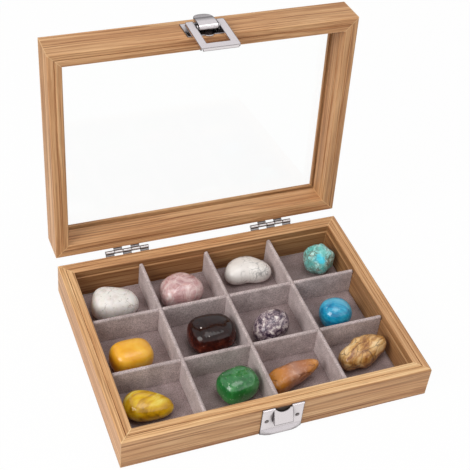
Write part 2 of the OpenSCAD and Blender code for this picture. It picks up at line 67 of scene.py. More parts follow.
# one node tree, of a material or of the world, and short ways to add its nodes
class Shade:
    def __init__(self, name, world=False):
        self.made = (bpy.data.worlds if world else bpy.data.materials).new(name)
        self.made.use_nodes = True
        self.tree = self.made.node_tree
        self.tree.nodes.clear()
        self.out = self.tree.nodes.new("ShaderNodeOutputWorld" if world else "ShaderNodeOutputMaterial")
        self.coords = self.tree.nodes.new("ShaderNodeTexCoord")
        self.object = self.coords.outputs["Object"]

    def link(self, value, socket):
        if isinstance(value, bpy.types.NodeSocket):
            self.tree.links.new(value, socket)
        else:
            socket.default_value = value

    def add(self, kind, sockets=None, **settings):
        node = self.tree.nodes.new("ShaderNode" + kind)
        for key, value in settings.items():
            setattr(node, key, value)
        for key, value in (sockets or {}).items():
            self.link(value, node.inputs[key])
        return node

    def mapping(self, vector, scale=(1, 1, 1), rotation=(0, 0, 0), location=(0, 0, 0)):
        return self.add("Mapping", {"Vector": vector, "Scale": scale, "Rotation": rotation,
                                    "Location": location}).outputs["Vector"]

    def axis(self, vector, name):
        return self.add("SeparateXYZ", {"Vector": vector}).outputs[name]

    def noise(self, vector, scale, detail=3, rough=0.5, warp=0.0):
        return self.add("TexNoise", {"Vector": vector, "Scale": scale, "Detail": detail,
                                     "Roughness": rough, "Distortion": warp}).outputs["Fac"]

    # noise with a scale of its own for each axis
    def stretched(self, vector, scales, detail=3, rough=0.5):
        return self.noise(self.mapping(vector, scale=scales), 1, detail, rough)

    def voronoi(self, vector, scale, feature="F1"):
        return self.add("TexVoronoi", {"Vector": vector, "Scale": scale},
                        feature=feature).outputs["Distance"]

    def wave(self, vector, scale, warp):
        return self.add("TexWave", {"Vector": vector, "Scale": scale, "Distortion": warp, "Detail": 3,
                                    "Detail Scale": 1.5}, bands_direction="Z").outputs["Fac"]

    def math(self, how, a, b=0.0, c=0.0):
        node = self.add("Math", operation=how)
        for value, socket in zip((a, b, c), node.inputs):
            self.link(value, socket)
        return node.outputs[0]

    # 0 up to low, 1 from high
    def between(self, value, low, high):
        node = self.add("MapRange", {"Value": value, "From Min": low, "From Max": high}, clamp=True)
        return node.outputs["Result"]

    # 1 up to low, 0 from high
    def fading(self, value, low, high):
        return self.math("SUBTRACT", 1, self.between(value, low, high))

    # 1 on the borders of the cells
    def cracks(self, vector, scale, low, high):
        return self.fading(self.voronoi(vector, scale, "DISTANCE_TO_EDGE"), low, high)

    def ramp(self, value, stops):
        node = self.add("ValToRGB", {"Fac": value})
        band = node.color_ramp.elements
        while len(band) < len(stops):
            band.new(0.5)
        for element, (place, colour) in zip(band, stops):
            element.position = place
            element.color = colour
        return node.outputs["Color"]

    def mix(self, factor, a, b, how="MIX"):
        node = self.add("Mix", data_type="RGBA", blend_type=how)
        self.link(factor, node.inputs[0])
        self.link(a, node.inputs[6])
        self.link(b, node.inputs[7])
        return node.outputs[2]

    # lays a tint over the colour where the mask is 1, for real stains and also for painted light and shade
    def stainAndPaintedLight(self, colour, mask, share, tint):
        return self.mix(self.math("MULTIPLY", mask, share), colour, tint)

    # the colour multiplied by another where the mask is 1
    def toned(self, colour, mask, tint, share=1):
        return self.mix(mask, colour, self.mix(share, colour, tint, "MULTIPLY"))

    def bump(self, height, strength, distance, normal=None):
        sockets = {"Height": height, "Strength": strength, "Distance": distance}
        if normal is not None:
            sockets["Normal"] = normal
        return self.add("Bump", sockets).outputs["Normal"]

    def blend(self, factor, a, b):
        return self.add("MixShader", {0: factor, 1: a, 2: b}).outputs[0]

    def show(self, shader):
        self.tree.links.new(shader, self.out.inputs["Surface"])

    def surface(self, **sockets):
        names = {"colour": "Base Color", "metal": "Metallic", "rough": "Roughness", "normal": "Normal",
                 "specular": "Specular IOR Level", "coat": "Coat Weight", "coatRough": "Coat Roughness",
                 "sheen": "Sheen Weight", "sheenRough": "Sheen Roughness", "sheenTint": "Sheen Tint",
                 "scatter": "Subsurface Weight", "scatterFar": "Subsurface Scale",
                 "scatterReach": "Subsurface Radius"}
        self.show(self.add("BsdfPrincipled", {names[k]: v for k, v in sockets.items()}).outputs[0])


def dress(material, *names):
    for name in names:
        slots = nodes[name].data.materials
        slots.clear()
        slots.append(material)


# Object coordinates turned back with the lid to where they are when it is shut
def lidShut(shade):
    turn = Matrix.Rotation(lidAngle, 3, "X")
    return shade.mapping(shade.object, rotation=(lidAngle, 0, 0), location=hingeAt - turn @ hingeAt)


# In the dictionaries of looks below, a noise is (scale, detail, roughness), with three scales if it is
# stretched and at times a distortion at the end. Cracks are (scale, low, high), a band (low, high), a tint
# for stains, painted shade or painted light (share, colour), a bump (strength, distance), a warp (scale, reach)
# and tones a ramp's stops.

# oak foil on the mouldings and the bottom board
darkOak = srgb(124, 80, 46)
oak = {
    # noises stretched along the grain: (scale across, stretch, detail, roughness)
    "broad": (230, 1, 3, 0.6), "fine": (720, 3, 4, 0.7), "hair": (1500, 4, 2, 0.6), "line": (620, 1.3, 2, 0.5),
    "along": 3, "broadShare": 0.24, "fineShare": 0.5, "hairShare": 0.26,
    "tones": [(0.36, darkOak), (0.44, srgb(178, 130, 88)), (0.51, srgb(206, 160, 115)),
              (0.6, srgb(228, 188, 142))],
    "offset": (0.37, 0.11, 0.23), "waver": ((10, 30, 30), 2), "bend": 0.003,
    "lineBand": (0.58, 0.64), "lineStain": (0.42, darkOak),
    "pore": ((60, 1500, 1500), 2, 0.5), "poreBand": (0.60, 0.72), "poreStain": (0.35, darkOak),
    "patch": ((9, 24, 24), 2), "patchBand": (0.4, 0.8), "patchTint": srgb(236, 178, 120), "patchShare": 0.3,
    "sunk": 0.35, "bump": (0.35, 0.00016), "roughSlope": -0.2, "rough": 0.6, "specular": 0.35,
    "jointWide": 0.35 * mm, "jointBand": (0.5, 1.4), "jointStain": (0.8, srgb(222, 184, 138)),
    # the first two tones on this line are painted: light on the tops of the rims, shade on the inner walls
    "rimLightTint": (1.2, 1.3, 1.32, 1), "wallShade": (0.66, 0.6, 0.52, 1), "skin": 0.4 * mm, "wallIn": 4 * mm,
    # a painted shadow behind the keeper's hood: its soft side, its soft edge and its near-black tint
    "hollowSide": 0.3 * mm, "hollowEdge": 0.2 * mm, "hollowShadowTint": (0.96, srgb(26, 20, 18)),
}


def oakFoil(name, alongY, onLid, seed, joints=True, hollow=None, paintedRimLight=False):
    s = Shade(name)
    place = lidShut(s) if onLid else s.object
    runs = s.mapping(place, rotation=(0, 0, math.pi / 2)) if alongY else place
    shifted = s.mapping(runs, location=tuple(seed * step for step in oak["offset"]))
    waver = s.stretched(shifted, *oak["waver"])
    bent = s.add("VectorMath", {0: shifted, 1: s.add("CombineXYZ", {
        "Y": s.math("MULTIPLY", waver, oak["bend"]),
        "Z": s.math("MULTIPLY", waver, oak["bend"])}).outputs[0]}, operation="ADD").outputs[0]

    def grainAt(across, stretch, detail, rough):
        return s.stretched(bent, (oak["along"] * stretch, across, across), detail, rough)

    broad, fine, hair = grainAt(*oak["broad"]), grainAt(*oak["fine"]), grainAt(*oak["hair"])
    grain = s.math("MULTIPLY", hair, oak["hairShare"])
    grain = s.math("MULTIPLY_ADD", fine, oak["fineShare"], grain)
    grain = s.math("MULTIPLY_ADD", broad, oak["broadShare"], grain)
    colour = s.ramp(grain, oak["tones"])
    streaks = s.between(grainAt(*oak["line"]), *oak["lineBand"])
    colour = s.stainAndPaintedLight(colour, streaks, *oak["lineStain"])
    pores = s.between(s.stretched(bent, *oak["pore"]), *oak["poreBand"])
    colour = s.stainAndPaintedLight(colour, pores, *oak["poreStain"])
    patch = s.between(s.stretched(shifted, *oak["patch"]), *oak["patchBand"])
    colour = s.toned(colour, patch, oak["patchTint"], oak["patchShare"])
    height = s.math("SUBTRACT", grain, s.math("MULTIPLY", s.math("ADD", pores, streaks), oak["sunk"]))
    at = s.add("SeparateXYZ", {"Vector": place}).outputs
    fromX, fromY = s.math("ABSOLUTE", at["X"]), s.math("ABSOLUTE", at["Y"])
    if joints:  # the mitres, where the foil turns pale
        off = s.math("ABSOLUTE", s.math("SUBTRACT", s.math("SUBTRACT", fromX, fromY), halfWide - halfDeep))
        mitre = s.fading(off, *(oak["jointWide"] * share for share in oak["jointBand"]))
        colour = s.stainAndPaintedLight(colour, mitre, *oak["jointStain"])
        height = s.math("SUBTRACT", height, mitre)
    if joints and not onLid:  # the top of the rim may be painted paler, as painted light, and the walls inside are painted darker, as painted shade
        top = s.math("GREATER_THAN", at["Z"], rimHeight - oak["skin"])
        if paintedRimLight:
            # painted light: the top of the rim made paler, as if lit from the key side
            colour = s.toned(colour, top, oak["rimLightTint"])
        inX = s.math("LESS_THAN", fromX, halfWide - oak["wallIn"])
        inY = s.math("LESS_THAN", fromY, halfDeep - oak["wallIn"])
        wall = s.math("MULTIPLY", s.math("MULTIPLY", inX, inY), s.math("SUBTRACT", 1, top))
        # painted shade on the inner walls of the case
        colour = s.toned(colour, wall, oak["wallShade"])
    if hollow:  # painted shadow: the wood made near black behind the keeper's hood
        wide, high, low = hollow
        across = s.fading(fromX, wide, wide + oak["hollowSide"])
        below = s.fading(at["Z"], high, high + oak["hollowEdge"])
        above = s.between(at["Z"], low, low + oak["hollowEdge"])
        outer = s.math("LESS_THAN", at["Y"], oak["skin"] - halfDeep)
        inside = s.math("MULTIPLY", s.math("MULTIPLY", across, outer), s.math("MULTIPLY", below, above))
        colour = s.stainAndPaintedLight(colour, inside, *oak["hollowShadowTint"])
    s.surface(colour=colour, rough=s.math("MULTIPLY_ADD", grain, oak["roughSlope"], oak["rough"]),
              specular=oak["specular"], normal=s.bump(height, *oak["bump"]))
    return s.made


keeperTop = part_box("keeper_plate")[1].z
# where the wood is painted near black, as shadow, behind the keeper's hood
keeperHollow = (5.4 * mm, keeperTop - 0.9 * mm, keeperTop - 9 * mm)  # half its width, its top and its foot
dress(oakFoil("oakFoilBaseFront", False, False, 1, hollow=keeperHollow, paintedRimLight=True), "base_rail_front")
dress(oakFoil("oakFoilBaseBack", False, False, 2), "base_rail_back")
dress(oakFoil("oakFoilBaseLeft", True, False, 3, paintedRimLight=True), "base_rail_left")
dress(oakFoil("oakFoilBaseRight", True, False, 4), "base_rail_right")
dress(oakFoil("oakFoilLidFront", False, True, 5), "lid_rail_front")
dress(oakFoil("oakFoilLidBack", False, True, 6), "lid_rail_back")
dress(oakFoil("oakFoilLidLeft", True, True, 7), "lid_rail_left")
dress(oakFoil("oakFoilLidRight", True, True, 8), "lid_rail_right")
dress(oakFoil("oakFoilBoard", False, False, 9, joints=False), "bottom_board")
print("oak foil done")


# velvet on the pad and the dividers
velvet = {
    "base": srgb(222, 207, 207), "deep": srgb(190, 175, 174), "between": srgb(96, 84, 82), "betweenShare": 0.5,
    "crush": (110, 3, 0.55), "crushBand": (0.32, 0.68), "crushBump": (0.25, 0.0012),
    "pile": (1500, 2, 0.6), "pileBand": (0.36, 0.62), "pileBump": (0.5, 0.00025),
    # the pad's velvet is multiplied by a darker tone than the dividers': painted shade on the floors of the
    # compartments
    "upright": srgb(255, 255, 255), "flat": srgb(212, 205, 205),
    "gloss": {"rough": 0.95, "specular": 0.1, "sheen": 0.55, "sheenRough": 0.45, "sheenTint": srgb(250, 240, 240)},
}


def velvetPile(name, shade):
    s = Shade(name)
    crush = s.noise(s.object, *velvet["crush"])
    pile = s.noise(s.object, *velvet["pile"])
    colour = s.mix(s.between(crush, *velvet["crushBand"]), velvet["deep"], velvet["base"])
    dark = s.mix(velvet["betweenShare"], colour, velvet["between"], "MULTIPLY")
    colour = s.mix(s.between(pile, *velvet["pileBand"]), dark, colour)
    colour = s.mix(1, colour, shade, "MULTIPLY")
    crushed = s.bump(crush, *velvet["crushBump"])
    s.surface(colour=colour, normal=s.bump(pile, *velvet["pileBump"], crushed), **velvet["gloss"])
    return s.made


acrossDividers = ("cross_divider_left", "cross_divider_middle", "cross_divider_right")
alongDividers = ("long_divider_front", "long_divider_rear")
dress(velvetPile("greyVelvet", velvet["upright"]), *acrossDividers, *alongDividers)


# plated sheet: edges slightly rounded over, with painted shade in the creases of the pressings and a painted dark
# reflection along the edges
metal = {
    "edge": 0.3 * mm, "line": 0.9 * mm, "crease": 6 * mm, "edgeSamples": 8, "creaseSamples": 12,
    "haze": (260, 3, 0.6), "hazeRough": 0.2, "hazeOffset": 0.08, "grain": (2, 0.6), "bump": (0.06, 0.0002),
    "spot": (900, 2, 0.5), "spotBand": (0.68, 0.78), "spotStain": (0.35, srgb(120, 112, 110)),
    # painted shade in the creases, then a dark line along the edges that is a painted reflection
    "creaseShade": (0.85, srgb(58, 50, 50)), "edgeReflectionBand": (0.86, 0.985), "rim": srgb(44, 36, 36),
}


def plated(name, base, rough, grainSize, creased, edgeReflectionShare):
    s = Shade(name)
    haze = s.noise(s.object, *metal["haze"])
    fine = s.noise(s.object, grainSize, *metal["grain"])
    spots = s.between(s.noise(s.object, *metal["spot"]), *metal["spotBand"])
    colour = s.stainAndPaintedLight(base, spots, *metal["spotStain"])
    clear = s.add("AmbientOcclusion", {"Distance": metal["crease"]}, samples=metal["creaseSamples"])
    # painted shade: darker where ambient occlusion finds creases and gaps between parts
    colour = s.stainAndPaintedLight(colour, s.fading(clear.outputs["AO"], *creased), *metal["creaseShade"])
    rounded = s.add("Bevel", {"Radius": metal["edge"]}, samples=metal["edgeSamples"]).outputs[0]
    flat = s.add("NewGeometry").outputs["Normal"]
    broad = s.add("Bevel", {"Radius": metal["line"]}, samples=metal["edgeSamples"]).outputs[0]
    turned = s.add("VectorMath", {0: broad, 1: flat}, operation="DOT_PRODUCT").outputs["Value"]
    # painted reflection: a dark line along the rounded edges
    colour = s.stainAndPaintedLight(colour, s.fading(turned, *metal["edgeReflectionBand"]), edgeReflectionShare, metal["rim"])
    s.surface(colour=colour, metal=1.0,
              rough=s.math("MULTIPLY_ADD", haze, metal["hazeRough"], rough - metal["hazeOffset"]),
              normal=s.bump(fine, *metal["bump"], rounded))
    return s.made


chrome = plated("chromePlate", srgb(222, 215, 216), rough=0.15, grainSize=500, creased=(0.5, 0.96), edgeReflectionShare=0.8)
zinc = plated("zincSteel", srgb(206, 200, 198), rough=0.3, grainSize=1400, creased=(0.3, 0.95), edgeReflectionShare=0.75)
# the nails' metal is darker than the plate's: a painted dark reflection on their heads
nailMetal = plated("nailMetalPaintedDark", srgb(132, 124, 122), rough=0.3, grainSize=900, creased=(0.5, 0.98), edgeReflectionShare=0.8)
dress(chrome, "keeper_plate", "latch_plate", "draw_lever", "draw_frame")
dress(nailMetal, "keeper_nails", "latch_plate_nails")
dress(zinc, "hinge_base_leaf_left", "hinge_base_leaf_right", "hinge_lid_leaf_left", "hinge_lid_leaf_right",
      "hinge_pin_left", "hinge_pin_right", "hinge_base_nails", "hinge_lid_nails", "lever_pin", "frame_pin")


# glass: clear, with a faint gloss that grows towards the edge of sight
glass = {"smear": (30, 2), "smearShare": 0.15, "share": 0.28, "ior": 1.35, "gloss": srgb(250, 253, 252),
         "rough": 0.03, "specular": 0.5, "clear": (0.998, 1, 0.999, 1)}


def clearGlass():
    s = Shade("clearGlass")
    smear = s.noise(s.object, *glass["smear"])
    gloss = s.add("BsdfPrincipled", {"Base Color": glass["gloss"], "Roughness": glass["rough"],
                                     "Specular IOR Level": glass["specular"], "Metallic": 1.0})
    clear = s.add("BsdfTransparent", {"Color": glass["clear"]})
    edge = s.add("Fresnel", {"IOR": glass["ior"]}).outputs[0]
    lit = s.math("SUBTRACT", 1, s.add("LightPath").outputs["Is Shadow Ray"])
    share = s.math("MULTIPLY", s.math("MULTIPLY", edge, lit),
                   s.math("MULTIPLY_ADD", smear, glass["smearShare"], glass["share"]))
    s.show(s.blend(share, clear.outputs[0], gloss.outputs[0]))
    return s.made


dress(clearGlass(), "glass_pane")
print("velvet, metal and glass done")


# the velvet pad: a sheet over thin foam, hardly risen in each compartment
pad = {"step": 1.5 * mm, "rise": 0.25 * mm, "dip": 0.12 * mm, "swell": 0.35,
       "waveX": 210, "sway": 3, "swayY": 90, "waveY": 190, "phase": 2}


def velvetPad():
    low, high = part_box("floor_pad")
    across = sorted([low.x, high.x] + [sum(c.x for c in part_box(n)) / 2 for n in acrossDividers])
    along = sorted([low.y, high.y] + [sum(c.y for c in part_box(n)) / 2 for n in alongDividers])

    def swell(lines, value):
        for a, b in zip(lines, lines[1:]):
            if a <= value <= b:
                return max(0.0, math.sin(math.pi * (value - a) / (b - a))) ** pad["swell"]
        return 0.0

    wide = round((high.x - low.x) / pad["step"])
    deep = round((high.y - low.y) / pad["step"])
    mesh = bmesh.new()
    rows = []
    for j in range(deep + 1):
        y = low.y + (high.y - low.y) * j / deep
        row = []
        for i in range(wide + 1):
            x = low.x + (high.x - low.x) * i / wide
            lift = swell(across, x) * swell(along, y)
            sway = pad["sway"] * math.sin(y * pad["swayY"])
            ripple = math.sin(x * pad["waveX"] + sway) * math.sin(y * pad["waveY"] + pad["phase"])
            ripple = 0.5 + 0.5 * ripple
            z = high.z - pad["rise"] * (1 - lift) - pad["dip"] * ripple * lift
            row.append(mesh.verts.new((x, y, z)))
        rows.append(row)
    for a, b in zip(rows, rows[1:]):
        for i in range(wide):
            mesh.faces.new((a[i], a[i + 1], b[i + 1], b[i]))
    rim = rows[0] + [r[-1] for r in rows[1:]] + rows[-1][-2::-1] + [r[0] for r in rows[-2:0:-1]]
    under = [mesh.verts.new((v.co.x, v.co.y, low.z)) for v in rim]
    for k in range(len(rim)):
        n = (k + 1) % len(rim)
        mesh.faces.new((rim[n], rim[k], under[k], under[n]))
    mesh.faces.new(list(reversed(under)))
    bmesh.ops.recalc_face_normals(mesh, faces=mesh.faces)
    data = bpy.data.meshes.new("velvetFloor")
    mesh.to_mesh(data)
    mesh.free()
    data.polygons.foreach_set("use_smooth", [True] * len(data.polygons))
    piece = bpy.data.objects.new("velvetFloor", data)
    scene.collection.objects.link(piece)
    # the pad's copy of the velvet is darker, as painted shade in the compartments
    data.materials.append(velvetPile("greyVelvetPad", velvet["flat"]))
    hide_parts("floor_pad")
    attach(piece, "base")


velvetPad()
print("velvet pad done")


# the stones: each CAD solid gets a finer skin that only dips inwards, so it stays in its place
# "skin" is in mm and in noise scales; "turn" turns the pattern about the stone's centre
stones = {
    "magnesite": {
        "skin": {"dip": 0.9, "size": 90, "pit": 0.10, "pitSize": 700},
        "cloud": (130, 4, 0.6),
        "tones": [(0.3, srgb(220, 214, 208)), (0.5, srgb(242, 239, 236)), (0.75, srgb(231, 227, 222))],
        "speck": (480, 3, 0.65), "speckBand": (0.60, 0.70), "speckStain": (0.55, srgb(132, 134, 118)),
        "crackWarp": (90, 0.014), "crack": (95, 0.0, 0.035), "patch": (100, 2), "patchBand": (0.45, 0.6),
        "crackStain": (0.6, srgb(140, 130, 118)), "crackDepth": 0.5, "bump": (0.3, 0.0008),
        "gloss": {"rough": 0.38, "scatter": 0.1, "scatterFar": 0.003},
    },
    "rose_quartz": {
        "skin": {"dip": 0.8, "size": 80, "pit": 0.03, "pitSize": 500},
        "cloud": (150, 5, 0.62, 0.9),
        "tones": [(0.32, srgb(180, 132, 134)), (0.46, srgb(204, 164, 164)), (0.58, srgb(216, 186, 184)),
                  (0.72, srgb(238, 222, 220))],
        "crackWarp": (70, 0.014), "crack": (110, 0.0, 0.05), "crackStain": (0.35, srgb(250, 238, 234)),
        "bump": (0.15, 0.0006),
        "gloss": {"rough": 0.16, "scatter": 0.3, "scatterFar": 0.005, "scatterReach": (1, 0.5, 0.45),
                  "coat": 0.4, "coatRough": 0.1},
    },
    "howlite": {
        "skin": {"dip": 0.7, "size": 70, "pit": 0.04, "pitSize": 500},
        "warp": (110, 0.012), "vein": (120, 0.0, 0.07), "thin": (380, 0.0, 0.1), "thinShare": 0.5,
        "fade": (75, 3, 0.6), "fadeBand": (0.46, 0.62), "blotch": (120, 4, 0.65), "blotchBand": (0.52, 0.68),
        "ground": srgb(240, 236, 232), "blotchStain": (0.4, srgb(196, 192, 190)),
        "veinStain": (0.8, srgb(112, 110, 110)), "bump": (0.08, 0.0003),
        "gloss": {"rough": 0.26, "coat": 0.2, "coatRough": 0.12},
    },
    "turquoise": {
        "skin": {"dip": 1.8, "size": 150, "pit": 0.30, "pitSize": 600},
        "warp": (170, 0.009), "tone": (130, 4, 0.6),
        "tones": [(0.34, srgb(96, 186, 180)), (0.48, srgb(150, 220, 216)), (0.64, srgb(212, 240, 234))],
        "matrix": (300, 0.02, 0.2), "patch": (160, 3), "patchBand": (0.35, 0.55),
        "matrixStain": (0.85, srgb(92, 82, 56)),
        "bareWarp": (240, 0.006), "bareAt": (-0.0035, -0.0075, 0.0075), "bareBand": (0.0035, 0.0055),
        "bare": srgb(70, 208, 232),
        "rust": (340, 4, 0.7), "rustBand": (0.6, 0.7), "rustStain": (0.7, srgb(110, 84, 52)),
        "relief": (420, 4, 0.6), "bump": (0.4, 0.0009),
        "gloss": {"rough": 0.32},
    },
    "yellow_jade": {
        "skin": {"dip": 0.5, "size": 60, "pit": 0.02, "pitSize": 400},
        "cloud": (60, 3, 0.55, 0.5),
        "tones": [(0.3, srgb(232, 160, 28)), (0.5, srgb(243, 182, 46)), (0.72, srgb(250, 210, 96))],
        "lowBand": (-0.007, 0.004), "lowStain": (0.6, srgb(222, 134, 10)),
        "gloss": {"rough": 0.3, "scatter": 0.2, "scatterFar": 0.004, "scatterReach": (1, 0.7, 0.2),
                  "coat": 0.35, "coatRough": 0.2},
    },
    "garnet": {
        "skin": {"dip": 0.6, "size": 60, "pit": 0.02, "pitSize": 400},
        "cloud": (240, 4, 0.65), "topBand": (-0.001, 0.007),
        "tones": [(0.3, srgb(44, 12, 8)), (0.5, srgb(84, 28, 18)), (0.72, srgb(130, 58, 38))],
        "topTones": [(0.3, srgb(22, 8, 8)), (0.7, srgb(44, 22, 18))],
        # painted glints: small white sparkles on the top, with their size, band and colour
        "bubbleSize": 210, "bubbleBand": (0.09, 0.14), "patch": (120, 2), "patchBand": (0.5, 0.6),
        "bubble": srgb(226, 218, 214), "bump": (0.08, 0.0008),
        "gloss": {"rough": 0.14, "specular": 0.25, "coat": 0.14, "coatRough": 0.06},
    },
    "amethyst": {
        "skin": {"dip": 1.2, "size": 120, "pit": 0.12, "pitSize": 500},
        "turn": (0.3, 0.5, 0.4), "warp": (130, 0.012), "crystal": (210, 6, 0.74), "swirl": (60, 6.0),
        "swirlShare": 0.12, "shift": -0.06,
        "tones": [(0.38, srgb(46, 32, 50)), (0.46, srgb(92, 74, 90)), (0.54, srgb(160, 142, 148)),
                  (0.63, srgb(226, 216, 212))],
        # darker purple towards the bottom, a painted shadow
        "lowBand": (-0.006, -0.001), "lowStain": (0.6, srgb(78, 58, 84)), "bump": (0.3, 0.0007),
        "gloss": {"rough": 0.24, "coat": 0.3, "coatRough": 0.14},
    },
    "blue_agate": {
        "skin": {"dip": 0.3, "size": 50, "pit": 0.01, "pitSize": 400},
        "turn": (0.2, -0.35, 0.5), "fibre": ((60, 420, 420), 3, 0.6),
        "tones": [(0.32, srgb(0, 112, 160)), (0.5, srgb(8, 150, 194)), (0.7, srgb(60, 188, 220))],
        # painted sheen: the cat's-eye band along the middle, in paler blue
        "streakBand": (0.0004, 0.0045), "streakStain": (0.5, srgb(112, 208, 236)),
        "gloss": {"rough": 0.14, "coat": 0.5, "coatRough": 0.1, "scatter": 0.1, "scatterFar": 0.002},
    },
    "lemon_jasper": {
        "skin": {"dip": 0.6, "size": 70, "pit": 0.03, "pitSize": 400},
        "turn": (0.4, 0.2, -0.5), "warp": (38, 0.014), "flow": ((35, 230, 160), 4, 0.5),
        "tones": [(0.34, srgb(166, 122, 10)), (0.44, srgb(216, 164, 16)), (0.55, srgb(232, 192, 34)),
                  (0.68, srgb(248, 228, 110))],
        "lowBand": (-0.006, 0.0), "lowStain": (0.5, srgb(168, 120, 12)), "bump": (0.06, 0.0004),
        "gloss": {"rough": 0.2, "coat": 0.3, "coatRough": 0.14},
    },
    "green_quartz": {
        "skin": {"dip": 1.0, "size": 90, "pit": 0.05, "pitSize": 500},
        "warp": (80, 0.01), "cloud": (110, 4, 0.65), "topBand": (-0.005, 0.004), "side": srgb(74, 168, 84),
        "tones": [(0.3, srgb(14, 84, 34)), (0.5, srgb(30, 116, 52)), (0.75, srgb(92, 164, 100))],
        # painted highlights: fine pale glints
        "glint": (620, 3, 0.6), "glintBand": (0.62, 0.72), "glintStain": (0.45, srgb(190, 226, 186)),
        "gloss": {"rough": 0.16, "coat": 0.5, "coatRough": 0.08, "scatter": 0.3, "scatterFar": 0.004,
                  "scatterReach": (0.3, 1, 0.4)},
    },
    "jasper_shard": {
        "skin": {"dip": 1.1, "size": 120, "pit": 0.12, "pitSize": 600},
        "warp": (110, 0.01), "alongBand": (-0.016, 0.016),
        "tones": [(0.06, srgb(204, 132, 44)), (0.26, srgb(186, 116, 54)), (0.48, srgb(172, 122, 98)),
                  (0.7, srgb(170, 104, 58)), (0.92, srgb(214, 142, 52))],
        "grain": (320, 4, 0.7), "grainBand": (0.52, 0.75), "grainStain": (0.7, srgb(220, 176, 148)),
        "split": ((50, 300, 300), 3, 0.55), "splitBand": (0.56, 0.62), "splitStain": (0.6, srgb(112, 60, 30)),
        "bump": (0.35, 0.0009),
        "gloss": {"rough": 0.3, "coat": 0.2, "coatRough": 0.15},
    },
    "brown_jasper": {
        "skin": {"dip": 1.5, "size": 130, "pit": 0.20, "pitSize": 500},
        "turn": (0, 0, -0.6), "warp": (90, 0.008), "layer": ((55, 260, 200), 4, 0.6),
        "tones": [(0.34, srgb(140, 88, 40)), (0.45, srgb(196, 144, 80)), (0.55, srgb(226, 184, 122)),
                  (0.68, srgb(240, 208, 156))],
        "crackScales": (55, 150, 150), "crackBand": (0.0, 0.035), "crackStain": (0.7, srgb(84, 50, 28)),
        "lowBand": (-0.006, 0.0), "lowStain": (0.6, srgb(132, 80, 36)), "bump": (0.35, 0.0008),
        "gloss": {"rough": 0.28, "coat": 0.25, "coatRough": 0.12},
    },
}
skin = {"level": 2, "dipDetail": 2, "pitDetail": 3, "merge": 0.01 * mm, "seedStep": 3.7}


# Geometry Nodes tree: subdivide, then dip along the normal by two noises
def stoneSkinTree():
    tree = bpy.data.node_groups.new("stoneSkin", "GeometryNodeTree")
    face = tree.interface
    face.new_socket("Geometry", in_out="INPUT", socket_type="NodeSocketGeometry")
    for name in ("Dip Depth", "Dip Size", "Pit Depth", "Pit Size", "Seed"):
        face.new_socket(name, in_out="INPUT", socket_type="NodeSocketFloat")
    face.new_socket("Finish", in_out="INPUT", socket_type="NodeSocketMaterial")
    face.new_socket("Geometry", in_out="OUTPUT", socket_type="NodeSocketGeometry")
    new, link = tree.nodes.new, tree.links.new
    given, result = new("NodeGroupInput"), new("NodeGroupOutput")
    fine = new("GeometryNodeSubdivisionSurface")
    fine.inputs["Level"].default_value = skin["level"]
    link(given.outputs["Geometry"], fine.inputs["Mesh"])

    def dips(sizeName, depthName, detail):
        noise = new("ShaderNodeTexNoise")
        noise.noise_dimensions = "4D"
        noise.inputs["Detail"].default_value = detail
        link(given.outputs[sizeName], noise.inputs["Scale"])
        link(given.outputs["Seed"], noise.inputs["W"])
        times = new("ShaderNodeMath")
        times.operation = "MULTIPLY"
        link(noise.outputs["Fac"], times.inputs[0])
        link(given.outputs[depthName], times.inputs[1])
        return times.outputs[0]

    total = new("ShaderNodeMath")
    total.operation = "ADD"
    link(dips("Dip Size", "Dip Depth", skin["dipDetail"]), total.inputs[0])
    link(dips("Pit Size", "Pit Depth", skin["pitDetail"]), total.inputs[1])
    inward = new("ShaderNodeMath")
    inward.operation = "MULTIPLY"
    inward.inputs[1].default_value = -1
    link(total.outputs[0], inward.inputs[0])
    normal = new("GeometryNodeInputNormal")
    offset = new("ShaderNodeVectorMath")
    offset.operation = "SCALE"
    link(normal.outputs[0], offset.inputs[0])
    link(inward.outputs[0], offset.inputs["Scale"])
    move, smooth = new("GeometryNodeSetPosition"), new("GeometryNodeSetShadeSmooth")
    real, finish = new("GeometryNodeRealizeInstances"), new("GeometryNodeSetMaterial")
    link(fine.outputs[0], move.inputs["Geometry"])
    link(offset.outputs[0], move.inputs["Offset"])
    link(move.outputs[0], smooth.inputs["Geometry"])
    link(smooth.outputs[0], real.inputs["Geometry"])
    link(real.outputs[0], finish.inputs["Geometry"])
    link(given.outputs["Finish"], finish.inputs["Material"])
    link(finish.outputs[0], result.inputs["Geometry"])
    return tree


def skinStone(kind, tree, material, seed):
    sizes = stones[kind]["skin"]
    node = "specimen_" + kind
    merged = bmesh.new()
    merged.from_mesh(nodes[node].data)
    bmesh.ops.remove_doubles(merged, verts=merged.verts, dist=skin["merge"])
    rough = bpy.data.meshes.new(kind)
    merged.to_mesh(rough)
    merged.free()
    maker = bpy.data.objects.new(kind + "Maker", rough)
    scene.collection.objects.link(maker)
    modifier = maker.modifiers.new("stoneSkin", "NODES")
    modifier.node_group = tree
    values = {"Dip Depth": sizes["dip"] * mm, "Dip Size": sizes["size"], "Pit Depth": sizes["pit"] * mm,
              "Pit Size": sizes["pitSize"], "Seed": seed, "Finish": material}
    for item in tree.interface.items_tree:
        if item.in_out == "INPUT" and item.name in values:
            value = values[item.name]
            modifier[item.identifier] = value if item.name == "Finish" else float(value)
    bpy.context.view_layer.update()
    made = bpy.data.meshes.new_from_object(maker.evaluated_get(bpy.context.evaluated_depsgraph_get()))
    bpy.data.objects.remove(maker)
    piece = bpy.data.objects.new(kind + "Stone", made)
    scene.collection.objects.link(piece)
    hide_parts(node)
    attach(piece, "base")


def stoneCentre(kind):
    low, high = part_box("specimen_" + kind)
    return (low + high) / 2


def centred(s, kind, turn=(0, 0, 0)):
    return s.mapping(s.mapping(s.object, location=-stoneCentre(kind)), rotation=turn)


